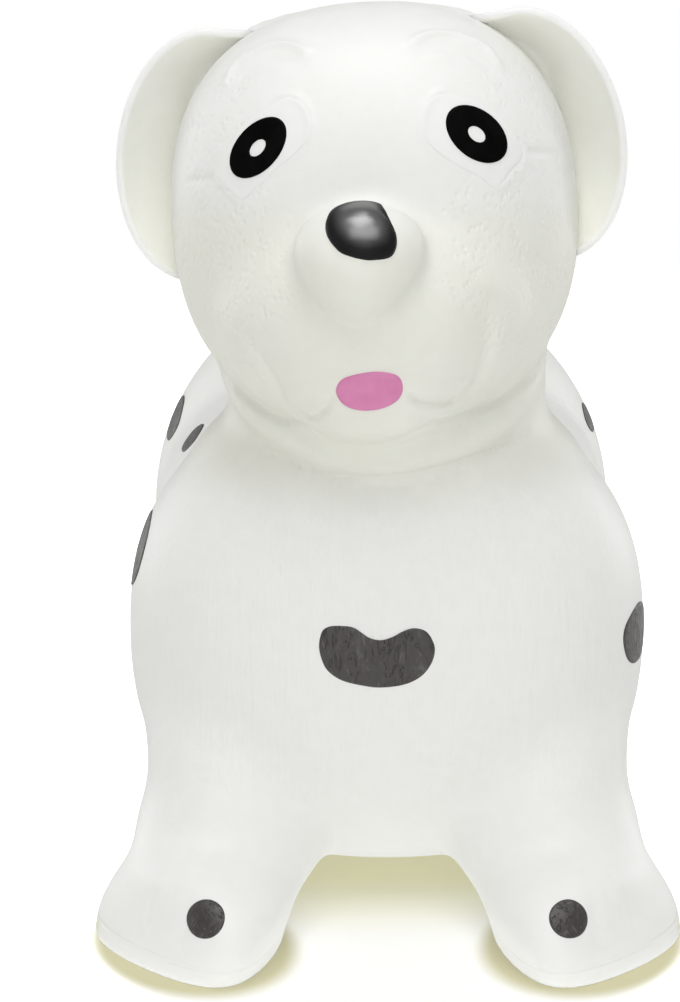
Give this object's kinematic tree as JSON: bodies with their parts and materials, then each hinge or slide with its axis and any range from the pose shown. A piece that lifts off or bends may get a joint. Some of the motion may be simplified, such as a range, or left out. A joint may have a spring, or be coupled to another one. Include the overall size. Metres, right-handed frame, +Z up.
{
  "type": "animal hopper",
  "caption": "Hollow inflated vinyl puppy to sit and bounce on, with a saddle dip, flat-soled paws, flexing cupped ears as hand grips and a push-in air plug in the belly.",
  "frame": {"origin": "on the floor, at the middle of the part's footprint box", "axes": "+Z up, -Y the way the puppy faces, +X its own left side"},
  "size_m": [0.3205, 0.5611, 0.4974],
  "materials": {
    "white_vinyl": "satin off-white soft vinyl",
    "plug_vinyl": "satin white vinyl, a little harder than the skin",
    "eye_white_paint": "white paint on moulded relief",
    "gloss_black_paint": "gloss black paint",
    "pink_paint": "pink paint",
    "coat_black_paint": "satin black-brown paint over moulded fur strokes"
  },
  "bodies": {
    "skin": {"body_skin": "white_vinyl", "left_eye_white": "eye_white_paint", "right_eye_white": "eye_white_paint", "left_pupil": "gloss_black_paint", "right_pupil": "gloss_black_paint", "nose_tip": "gloss_black_paint", "tongue": "pink_paint", "chest_spot": "coat_black_paint", "left_paw_spot": "coat_black_paint", "right_paw_spot": "coat_black_paint", "left_flank_spot": "coat_black_paint", "right_flank_spot": "coat_black_paint", "left_back_spot": "coat_black_paint", "right_back_spot": "coat_black_paint", "right_shoulder_spot": "coat_black_paint", "rump_spot": "coat_black_paint"},
    "left_ear": {"left_ear": "white_vinyl"},
    "right_ear": {"right_ear": "white_vinyl"},
    "plug": {"air_plug": "plug_vinyl"}
  },
  "joints": [
    {"name": "left_ear_flex", "type": "hinge", "parent": "skin", "child": "left_ear", "pos_m": [0.06195, -0.1068, 0.48031], "axis": [-0.068, -0.9922, 0.1043], "range_deg": [-1.5, 35], "stiffness_Nm_per_rad": 1.2, "springref_deg": 1.21},
    {"name": "right_ear_flex", "type": "hinge", "parent": "skin", "child": "right_ear", "pos_m": [-0.0884, -0.0976, 0.46978], "axis": [0.068, 0.9922, -0.1043], "range_deg": [-1.5, 35], "stiffness_Nm_per_rad": 1.2, "springref_deg": 1.21},
    {"name": "plug_pull", "type": "slide", "parent": "skin", "child": "plug", "axis": [0, 0, -1], "range_m": [0, 0.024]}
  ]
}
